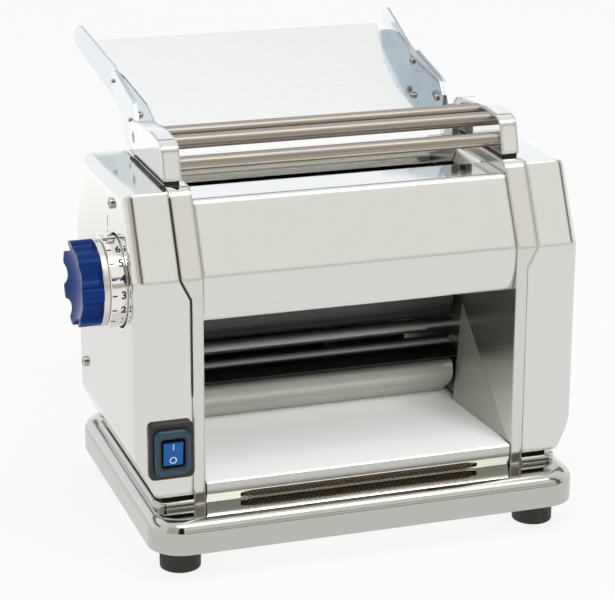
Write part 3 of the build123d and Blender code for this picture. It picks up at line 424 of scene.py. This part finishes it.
# %% Index mark
def place_flat(mesh, origin, right, up):
    """Turns a flat mesh in millimetres so that it lies on a surface."""
    across, upward = Vector(right).normalized(), Vector(up).normalized()
    normal = across.cross(upward)
    for vertex in mesh.vertices:
        p = Vector(origin) + across * vertex.co.x + upward * vertex.co.y + normal * vertex.co.z
        vertex.co = at(*p)
    return mesh


def disc_mesh(radius, hole=0.0, steps=48):
    """A thin printed disc or ring, in millimetres."""
    mesh = bpy.data.meshes.new("disc")
    shape = bmesh.new()
    rings = []
    turns = [2 * math.pi * i / steps for i in range(steps)]
    for r in (radius, max(hole, 0.001)):
        rings.append([shape.verts.new((r * math.cos(turn), r * math.sin(turn), INK_THICK))
                      for turn in turns])
    for i in range(steps):
        j = (i + 1) % steps
        shape.faces.new((rings[0][i], rings[0][j], rings[1][j], rings[1][i]))
    shape.to_mesh(mesh)
    shape.free()
    return mesh


TO_THE_FRONT, UP = (0, -1, 0), (0, 0, 1)
on_the_side = -SIDE_OUT - INK_THICK
line = place_flat(bar_mesh(0.9, 8.0), (on_the_side, -16.2, 225.6), TO_THE_FRONT, UP)
add_piece("index_line", line, index_ink, "body")
dot = place_flat(disc_mesh(0.9), (on_the_side, -15.5, 218.4), TO_THE_FRONT, UP)
add_piece("index_dot", dot, index_ink, "body")
print("index mark", len(line.vertices), "and", len(dot.vertices), "points")

# %% [markdown]
# The switch has a soft boot with a window. A dark lip seals the window's rim, and the rocker
# in it is printed with a line for on and a ring for off. Its face is a shallow V, so the line
# lies on the upper slope and the ring on the lower one.


# %% Switch lip and signs
def rounded_ring_mesh(width, height, corner, rim, thick):
    """A flat lip round a rounded window, in millimetres."""
    mesh = bpy.data.meshes.new("lip")
    shape = bmesh.new()
    loops = []
    # Each loop of the profile: how far out it runs, and how high it stands.
    for grow, lift in ((0.0, 0.0), (0.15, thick), (rim - 0.2, thick), (rim, 0.0)):
        radius = corner + grow
        half_w, half_h = width / 2 + grow - radius, height / 2 + grow - radius
        loop = []
        for quarter, (sx, sy) in enumerate(((1, 1), (-1, 1), (-1, -1), (1, -1))):
            for step in range(7):
                turn = math.radians(90 * quarter + 15 * step)
                loop.append(shape.verts.new((sx * half_w + radius * math.cos(turn),
                                             sy * half_h + radius * math.sin(turn), lift)))
        loops.append(loop)
    for inner, outer in zip(loops, loops[1:]):
        for i, vertex in enumerate(inner):
            j = (i + 1) % len(inner)
            shape.faces.new((vertex, outer[i], outer[j], inner[j]))
    bmesh.ops.recalc_face_normals(shape, faces=shape.faces[:])
    shape.to_mesh(mesh)
    shape.free()
    return mesh


SWITCH_X, SWITCH_Z = -134.9, 85.0
BOOT_FRONT = -HALF_DEPTH - 8.2
TO_THE_RIGHT = (1, 0, 0)
lip = rounded_ring_mesh(width=16.4, height=20.6, corner=2.4, rim=1.3, thick=0.25)
lip = place_flat(lip, (SWITCH_X, BOOT_FRONT, SWITCH_Z), TO_THE_RIGHT, UP)
add_piece("window_lip", lip, seal_silicone, "body")

ROCKER_MIDDLE = -92.1
UPPER_SLOPE = Vector((0, -1.2, 7.8)).normalized()
LOWER_SLOPE = Vector((0, -1.0, 8.8)).normalized()
SIGN_ON_UP, SIGN_OFF_DOWN = 4.7, 5.0
centre = Vector((SWITCH_X, ROCKER_MIDDLE - INK_THICK, SWITCH_Z))
sign_on = place_flat(bar_mesh(0.75, 4.6), centre + UPPER_SLOPE * SIGN_ON_UP, TO_THE_RIGHT,
                     UPPER_SLOPE)
add_piece("sign_on", sign_on, white_ink, "rocker")
sign_off = place_flat(disc_mesh(2.5, 1.8), centre - LOWER_SLOPE * SIGN_OFF_DOWN, TO_THE_RIGHT,
                      LOWER_SLOPE)
add_piece("sign_off", sign_off, white_ink, "rocker")
print("switch lip and signs placed")

# %% [markdown]
# At the back, the appliance inlet needs its three flat pins: two for the current and an
# earth pin between them, a little lower.


# %% Inlet pins
def blade_mesh(width, height, length):
    """A flat pin with a rounded nose, along +Z of its own, in millimetres."""
    mesh = bpy.data.meshes.new("pin")
    shape = bmesh.new()
    bmesh.ops.create_cube(shape, size=1.0)
    for vertex in shape.verts:
        taper = 0.7 if vertex.co.z > 0 else 1.0
        vertex.co = Vector((vertex.co.x * width * taper, vertex.co.y * height * taper,
                            (vertex.co.z + 0.5) * length))
    bmesh.ops.bevel(shape, geom=shape.edges[:], offset=0.35, segments=2, affect="EDGES")
    shape.to_mesh(mesh)
    shape.free()
    return mesh


INLET_X, INLET_FLOOR, PIN_Z = 72.0, 65.3, 87.4
TO_THE_LEFT = (-1, 0, 0)
for name, side, drop in (("left", -7.0, 0.0), ("right", 7.0, 0.0), ("earth", 0.0, 3.0)):
    pin = place_flat(blade_mesh(width=2.0, height=4.0, length=13.0),
                     (INLET_X + side, INLET_FLOOR, PIN_Z - drop), TO_THE_LEFT, UP)
    add_piece(f"inlet_pin_{name}", pin, nickel, "body")
    print("inlet pin", name, "at", INLET_X + side, PIN_Z - drop)

# %% [markdown]
# Rubber seals. A black cord lies along the outer foot of the left guard cheek and turns in
# front of it, and another fills the joint between the left housing and its frame. Each is
# swept: a half-round section is set up at every point of a path, and the sections are joined.


# %% Seal cords
END_TAPER = 0.45


def seal_mesh(points, normal_at, width, height, steps=7):
    """A half-round cord along drawing points; normal_at(point) is the surface's outward side."""
    mesh = bpy.data.meshes.new("seal")
    shape = bmesh.new()
    arc = [math.pi * i / (steps - 1) for i in range(steps)]
    last = len(points) - 1
    sections = []
    for index, point in enumerate(points):
        here = Vector(point)
        before, after = Vector(points[max(index - 1, 0)]), Vector(points[min(index + 1, last)])
        along = (after - before).normalized()
        out = Vector(normal_at(here)).normalized()
        side = along.cross(out).normalized()
        taper = END_TAPER if index in (0, last) else 1.0
        section = []
        for a in arc:
            offset = side * width / 2 * math.cos(a) + out * height * math.sin(a)
            section.append(shape.verts.new(at(*(here + taper * offset))))
        sections.append(section)
    for one, two in zip(sections, sections[1:]):
        for i in range(steps):
            shape.faces.new((one[i], one[(i + 1) % steps], two[(i + 1) % steps], two[i]))
    for end in (sections[0], sections[-1]):
        shape.faces.new(end)
    bmesh.ops.recalc_face_normals(shape, faces=shape.faces[:])
    shape.to_mesh(mesh)
    shape.free()
    mesh.shade_smooth()
    return mesh


def smooth_path(corners, per_span=6):
    """Catmull-Rom points through the corners."""
    path = []
    padded = [corners[0], *corners, corners[-1]]
    for a, b, c, d in zip(padded, padded[1:], padded[2:], padded[3:]):
        a, b, c, d = Vector(a), Vector(b), Vector(c), Vector(d)
        for step in range(per_span):
            t = step / per_span
            path.append(0.5 * (2 * b + (c - a) * t + (2 * a - 5 * b + 4 * c - d) * t * t
                               + (3 * b - a - 3 * c + d) * t ** 3))
    return path + [Vector(corners[-1])]


foot_cord = smooth_path([
    (-127.4, 38, 253.9), (-127.7, 10, 253.9), (-127.8, -36, 253.9), (-127.2, -45, 254.2),
    (-124.2, -49.6, 255.1), (-120.8, -52.4, 255.3), (-118.6, -55.4, 255.2)])
foot_seal = seal_mesh(foot_cord, lambda point: UP, width=2.6, height=1.1)
add_piece("guard_foot_seal", foot_seal, gasket_rubber, "body")

KNEE_Z = 201.5
LEAN = 23.1 / 46.3


def front_of(z):
    """Drawing Y of the body's front at a height: upright below the knee, leaning above."""
    return -HALF_DEPTH + max(0.0, z - KNEE_Z) * LEAN


joint_turns = [(-126.2, 250.5), (-126.2, 230.0), (-126.2, 205.0), (-125.4, 199.6),
               (-120.2, 189.0), (-119.2, 185.0), (-119.2, 160.0), (-119.2, 120.0)]
joint_cord = smooth_path([(x, front_of(z), z) for x, z in joint_turns])
joint_seal = seal_mesh(joint_cord, lambda point: (0, -1, LEAN if point.z > KNEE_Z else 0.0),
                       width=1.5, height=0.25)
add_piece("housing_joint_seal", joint_seal, gasket_rubber, "body")
print("seal cords of", len(foot_cord), "and", len(joint_cord), "points")

# %% [markdown]
# The slot in the chute's front is covered by woven mesh. A flat near-black cord paints the
# slot's shade behind it, and three thin zigzag cords over it make the wires.


# %% Vent mesh
VENT_HALF, VENT_Z = 86.0, 45.7
LEAN_TOP, LEAN_HEIGHT, LEAN_BACK = 49.6, 6.8, 2.6
LEANING_OUT = (0, -1, -0.38)
WIRE_STEP, WIRE_ROWS, WIRE_INSET = 0.9, (-1.3, 0.0, 1.3), 1.5


def on_front(x, z, off):
    """A point off millimetres before the leaning foot of the chute's front."""
    return (x, -HALF_DEPTH + LEAN_BACK * (LEAN_TOP - z) / LEAN_HEIGHT - off, z)


# Painted shade: a near-black cord across the slot stands for the dark behind the mesh.
slot_shade_path = [on_front(VENT_HALF * (i / 10 - 1), VENT_Z, 0.45) for i in range(21)]
slot_shade_strip = seal_mesh(slot_shade_path, lambda point: LEANING_OUT, width=5.0, height=0.3)
add_piece("vent_slot_painted_shade", slot_shade_strip, recess_shade_black, "body")
wire_count = int(2 * (VENT_HALF - WIRE_INSET) / WIRE_STEP)
for row, height in enumerate(WIRE_ROWS):
    zigzag = []
    for i in range(wire_count):
        swing = 0.5 * (-1) ** ((i + row) // 2 % 2)
        x = -VENT_HALF + WIRE_INSET + i * WIRE_STEP
        zigzag.append(on_front(x, VENT_Z + height + swing, 0.7))
    wire = seal_mesh(zigzag, lambda point: LEANING_OUT, width=0.55, height=0.3, steps=3)
    add_piece(f"vent_wire_{row + 1}", wire, mesh_wire, "body")
print("vent wires of", wire_count, "points")

# %% [markdown]
# Behind the slots of the rear panel hangs a dark dust screen. It is a grid whose rim is
# pressed against the panel and whose middle stands a little off it.


# %% Dust screen
def screen_mesh(x_ends, y, z_ends, dip, columns=24, rows=12):
    """An upright sheet in the XZ plane whose middle is dished by dip towards -Y."""
    mesh = bpy.data.meshes.new("screen")
    shape = bmesh.new()
    grid = []
    for r in range(rows + 1):
        line = []
        for c in range(columns + 1):
            u, v = c / columns, r / rows
            depth = dip * min(1.0, 8 * min(u, 1 - u, v, 1 - v))
            x = x_ends[0] + u * (x_ends[1] - x_ends[0])
            z = z_ends[0] + v * (z_ends[1] - z_ends[0])
            line.append(shape.verts.new(at(x, y - depth, z)))
        grid.append(line)
    for r in range(rows):
        for c in range(columns):
            shape.faces.new((grid[r][c], grid[r][c + 1], grid[r + 1][c + 1], grid[r + 1][c]))
    shape.to_mesh(mesh)
    shape.free()
    return mesh


SCREEN_THICK = 0.4
panel_inside = 1000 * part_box("rear_panel")[0][1] - ZERO.y
dust_sheet = screen_mesh((-84, 29), panel_inside - 0.3, (52, 103), dip=1.5)
screen = add_piece("dust_screen", dust_sheet, gasket_rubber, "body")
thickness = screen.modifiers.new("thickness", "SOLIDIFY")
thickness.thickness = SCREEN_THICK / 1000
thickness.offset = -1
print("dust screen at", round(panel_inside, 1))

# %% [markdown]
# Solids come as flat triangles. Smooth shading blends their normals, and an angle limit keeps
# real edges crisp, so chrome mirrors a curve and not its facets.

# %% Smooth shading
SHARP_FROM = math.radians(28)
for solid in nodes.values():
    solid.data.shade_smooth()
    solid.data.set_sharp_from_angle(angle=SHARP_FROM)
print("smoothed", len(nodes))

# %% [markdown]
# The room is what chrome is made of. It is a white tent, a little brighter and cooler behind
# the machine than in front. Brown and grey cloths hang in it: without something dark to
# mirror, polished metal would look like white paint. Tall dark ones draw the lines beside
# upright edges, low wide ones the lines under the tops. The camera itself sees plain white.


# %% Room
world = bpy.data.worlds.new("studio")
bpy.context.scene.world = world
world.use_nodes = True
room = world.node_tree
room.nodes.clear()
coords = add_node(room, "ShaderNodeTexCoord")
axes = add_node(room, "ShaderNodeSeparateXYZ", {"Vector": coords.outputs["Generated"]})
rise = add_node(room, "ShaderNodeMath", {0: axes.outputs["Z"]}, operation="ARCSINE")
height = add_node(room, "ShaderNodeMath", {0: rise.outputs[0], 1: 180 / math.pi},
                  operation="MULTIPLY").outputs[0]
minus_y = add_node(room, "ShaderNodeMath", {0: axes.outputs["Y"], 1: -1.0},
                   operation="MULTIPLY")
minus_x = add_node(room, "ShaderNodeMath", {0: axes.outputs["X"], 1: -1.0},
                   operation="MULTIPLY")
turn = add_node(room, "ShaderNodeMath", {0: minus_x.outputs[0], 1: minus_y.outputs[0]},
                operation="ARCTAN2")
turn_left = add_node(room, "ShaderNodeMath", {0: turn.outputs[0], 1: 180 / math.pi},
                     operation="MULTIPLY").outputs[0]
behind = add_node(room, "ShaderNodeMapRange", {
    "Value": axes.outputs["Y"], "From Min": -0.2, "From Max": 0.8},
    interpolation_type="SMOOTHSTEP")
white_cloth = add_node(room, "ShaderNodeMix", {
    0: behind.outputs["Result"], 6: linear("FFFEFA"), 7: linear("F7FBFF")}, data_type="RGBA")


def between(value, low, high, soft):
    """1 between two angles, 0 outside, with soft edges."""
    up = add_node(room, "ShaderNodeMapRange", {
        "Value": value, "From Min": low - soft, "From Max": low},
        interpolation_type="SMOOTHSTEP")
    over = add_node(room, "ShaderNodeMapRange", {
        "Value": value, "From Min": high, "From Max": high + soft, "To Min": 1.0, "To Max": 0.0},
        interpolation_type="SMOOTHSTEP")
    both = add_node(room, "ShaderNodeMath", {0: up.outputs["Result"], 1: over.outputs["Result"]},
                    operation="MULTIPLY")
    return both.outputs[0]


def hang_cloth(tent, code, turn_range, height_range, strength, soft):
    """A cloth between two turns to the left of the front and two heights, in degrees."""
    area = add_node(room, "ShaderNodeMath", {
        0: between(turn_left, *turn_range, soft), 1: between(height, *height_range, soft)},
        operation="MULTIPLY")
    cover = add_node(room, "ShaderNodeMath", {0: area.outputs[0], 1: strength},
                     operation="MULTIPLY")
    mix = add_node(room, "ShaderNodeMix", {0: cover.outputs[0], 6: tent, 7: linear(code)},
                   data_type="RGBA")
    return mix.outputs[2]


CLOTHS = (
    ("2A1C16", (7, 27), (2, 56), 1.0, 2.0),
    ("8A7868", (27, 62), (2, 50), 0.45, 6.0),
    ("4A3A30", (-75, 2), (20, 23.5), 0.9, 1.5),
    ("8C8C82", (-75, 2), (-1, 8), 0.75, 2.5),
    ("4A3A30", (100, 181), (25, 33), 0.8, 4.0),
    ("4A3A30", (-181, -120), (25, 33), 0.8, 4.0),
    ("4A3A30", (-66, -50), (2, 56), 0.8, 3.0),
)
tent = white_cloth.outputs[2]
for cloth in CLOTHS:
    tent = hang_cloth(tent, *cloth)

BACK_STRENGTH, STRENGTH_FOR_MATT = 1.25, 0.85
path = add_node(room, "ShaderNodeLightPath")
brightness = add_node(room, "ShaderNodeMapRange", {
    "Value": behind.outputs["Result"], "To Min": 1.0, "To Max": BACK_STRENGTH})
softened = add_node(room, "ShaderNodeMix", {
    "Factor": path.outputs["Is Diffuse Ray"], "A": brightness.outputs["Result"],
    "B": STRENGTH_FOR_MATT}, data_type="FLOAT")
tent_light = add_node(room, "ShaderNodeBackground", {
    "Color": tent, "Strength": softened.outputs["Result"]})
white = add_node(room, "ShaderNodeBackground", {"Color": (1, 1, 1, 1), "Strength": 1.0})
seen_plain = add_node(room, "ShaderNodeMath", {
    0: path.outputs["Is Camera Ray"], 1: path.outputs["Is Transmission Ray"]},
    operation="MAXIMUM")
choose = add_node(room, "ShaderNodeMixShader", {
    0: seen_plain.outputs[0], 1: tent_light.outputs[0], 2: white.outputs[0]})
add_node(room, "ShaderNodeOutputWorld", {"Surface": choose.outputs[0]})
print("cloths in the room", len(CLOTHS))

# %% [markdown]
# The floor is white and keeps a soft shadow where the machine stands. It mixes a plain white
# glow with an ordinary matt white: the glow keeps the page white, and the matt part lets the
# shadow through. Metal sees the floor grow brighter towards the back, as a sweep does.

# %% Floor
HALF_FLOOR = 6.0
GLOW_SHARE = 0.84
floor_mesh = bpy.data.meshes.new("floor")
floor_mesh.from_pydata([(x * HALF_FLOOR, y * HALF_FLOOR, 0) for x, y in
                        ((-1, -1), (1, -1), (1, 1), (-1, 1))], [], [(0, 1, 2, 3)])
floor = bpy.data.objects.new("floor", floor_mesh)
bpy.context.scene.collection.objects.link(floor)
floor_paper = bpy.data.materials.new("white_paper_floor")
floor_paper.use_nodes = True
paper = floor_paper.node_tree
paper.nodes.clear()
coords = add_node(paper, "ShaderNodeTexCoord")
axes = add_node(paper, "ShaderNodeSeparateXYZ", {"Vector": coords.outputs["Object"]})
sweep = add_node(paper, "ShaderNodeMapRange", {
    "Value": axes.outputs["Y"], "From Min": 0.35, "From Max": 1.1,
    "To Min": 0.97, "To Max": 1.4}, interpolation_type="SMOOTHSTEP")
path = add_node(paper, "ShaderNodeLightPath")
level = add_node(paper, "ShaderNodeMix", {
    "Factor": path.outputs["Is Camera Ray"], "A": sweep.outputs["Result"], "B": 1.0},
    data_type="FLOAT")
matt = add_node(paper, "ShaderNodeBsdfDiffuse", {"Color": linear("FEFEFE")})
glow = add_node(paper, "ShaderNodeEmission", {
    "Color": (1, 1, 1, 1), "Strength": level.outputs["Result"]})
blend = add_node(paper, "ShaderNodeMixShader", {
    0: GLOW_SHARE, 1: matt.outputs[0], 2: glow.outputs[0]})
add_node(paper, "ShaderNodeOutputMaterial", {"Surface": blend.outputs[0]})
floor_mesh.materials.append(floor_paper)
print("floor", 2 * HALF_FLOOR, "m square")

# %% [markdown]
# Two soft lamps. A wide one hangs high in front: it models the plastics and draws the white
# line along every upper edge. A lower one in front is a reflector for the chute: light
# linking keeps it to the sheets in there, so the polished faces outside don't mirror it.


# %% Lamps
def soft_lamp(name, place, target, size, power):
    """A rectangular lamp in metres and watts that faces target."""
    light = bpy.data.lights.new(name, "AREA")
    light.shape = "RECTANGLE"
    light.size, light.size_y = size
    light.energy = power
    lamp = bpy.data.objects.new(name, light)
    lamp.location = place
    lamp.rotation_euler = (Vector(target) - Vector(place)).to_track_quat("-Z", "Y").to_euler()
    bpy.context.scene.collection.objects.link(lamp)
    return lamp


soft_lamp("high_softbox", (0.1, -0.75, 1.75), (0, 0, 0.15), (1.6, 0.7), 8)
chute_lamp = soft_lamp("chute_softbox", (0.25, -1.3, 0.95), (0, 0, 0.1), (1.0, 0.6), 23)
lit_sheets = bpy.data.collections.new("sheets_lit_by_chute_lamp")
for name in ("chute_floor", "chute_cheeks", "vent_grille"):
    lit_sheets.objects.link(nodes[name])
chute_lamp.light_linking.receiver_collection = lit_sheets

# %% [markdown]
# The camera is a long lens a metre and a half away, a little left of the middle and looking
# down: that keeps upright edges nearly parallel, as a catalogue does. Its direction is built
# from two angles and a hair of roll.

# %% Camera
AZIMUTH, ELEVATION, ROLL = (math.radians(angle) for angle in (18.5107, 18.1367, -0.1830))
LENS_MM = 129.52
CAMERA_PLACE = (-481.24, -1403.84, 635.28)
ahead = Vector((math.sin(AZIMUTH) * math.cos(ELEVATION),
                math.cos(AZIMUTH) * math.cos(ELEVATION), -math.sin(ELEVATION)))
right = Vector((math.cos(AZIMUTH), -math.sin(AZIMUTH), 0))
down = ahead.cross(right)
image_x = math.cos(ROLL) * right + math.sin(ROLL) * down
image_y = math.sin(ROLL) * right - math.cos(ROLL) * down
camera_data = bpy.data.cameras.new("camera")
camera_data.sensor_width = 36.0
camera_data.lens = LENS_MM
camera_data.clip_start, camera_data.clip_end = 0.05, 50
camera = bpy.data.objects.new("camera", camera_data)
place = Matrix((image_x, image_y, -ahead)).transposed().to_4x4()
place.translation = at(*CAMERA_PLACE)
camera.matrix_world = place
bpy.context.scene.collection.objects.link(camera)
bpy.context.scene.camera = camera
bpy.context.scene.view_settings.view_transform = "Standard"
print("camera at", [round(v, 3) for v in place.translation])
